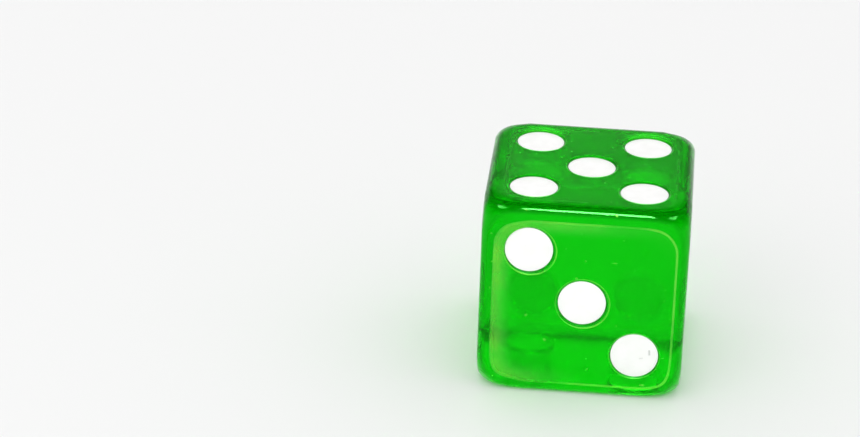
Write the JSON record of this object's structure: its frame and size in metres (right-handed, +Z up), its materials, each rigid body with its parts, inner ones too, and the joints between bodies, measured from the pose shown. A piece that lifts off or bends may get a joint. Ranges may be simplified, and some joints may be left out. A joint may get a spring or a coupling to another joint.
{
  "type": "casino die",
  "caption": "Transparent green cube with softly rounded edges and corners and round white pips set into all six faces.",
  "frame": {"origin": "middle of the face for two, which the die stands on, at the bottom of the box", "axes": "+Z up out of the face for five, -Y out of the front, which is the face for three, and +X out of the face for six"},
  "size_m": [0.019, 0.019, 0.0191],
  "materials": {
    "green_acetate": "clear green cellulose acetate, polished, with light wear on the flats",
    "white_filler": "opaque white filler, semi-gloss, sunk a little below the face"
  },
  "bodies": {
    "root": {"die_body": "green_acetate", "pip_one_centre": "white_filler", "pip_two_lower_left": "white_filler", "pip_two_upper_right": "white_filler", "pip_three_upper_left": "white_filler", "pip_three_centre": "white_filler", "pip_three_lower_right": "white_filler", "pip_four_upper_left": "white_filler", "pip_four_upper_right": "white_filler", "pip_four_lower_left": "white_filler", "pip_four_lower_right": "white_filler", "pip_five_upper_left": "white_filler", "pip_five_upper_right": "white_filler", "pip_five_centre": "white_filler", "pip_five_lower_left": "white_filler", "pip_five_lower_right": "white_filler", "pip_six_upper_left": "white_filler", "pip_six_upper_middle": "white_filler", "pip_six_upper_right": "white_filler", "pip_six_lower_left": "white_filler", "pip_six_lower_middle": "white_filler", "pip_six_lower_right": "white_filler"}
  },
  "joints": []
}
